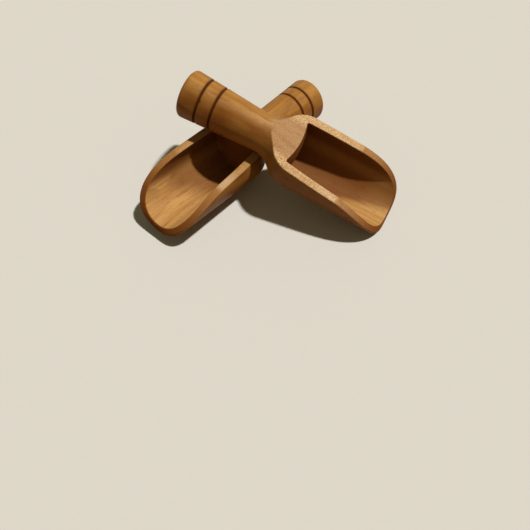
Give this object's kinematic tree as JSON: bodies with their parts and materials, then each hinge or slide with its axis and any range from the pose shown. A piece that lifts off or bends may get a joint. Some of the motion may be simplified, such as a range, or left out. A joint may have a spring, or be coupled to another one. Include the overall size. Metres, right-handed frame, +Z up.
{
  "type": "measuring scoop",
  "caption": "Turned wooden measuring scoop with a tapered, ringed handle and a bored bowl sawn open along the top, lying down with a matching scoop leaning across it.",
  "frame": {"origin": "on the surface that the scoops rest on, under the middle of the pair's box", "axes": "+Z up, +X along the lower scoop from its handle towards its mouth as seen from above, +Y towards the side where the upper scoop's mouth rests"},
  "size_m": [0.0832, 0.0772, 0.0389],
  "materials": {
    "lower_wood": "satin",
    "upper_wood": "satin"
  },
  "bodies": {
    "lower_scoop": {"lower_scoop": "lower_wood"},
    "upper_scoop": {"upper_scoop": "upper_wood"}
  },
  "joints": [
    {"name": "upper_scoop_lift", "type": "slide", "parent": "lower_scoop", "child": "upper_scoop", "axis": [0, 0, 1], "range_m": [0, 0.03]}
  ]
}
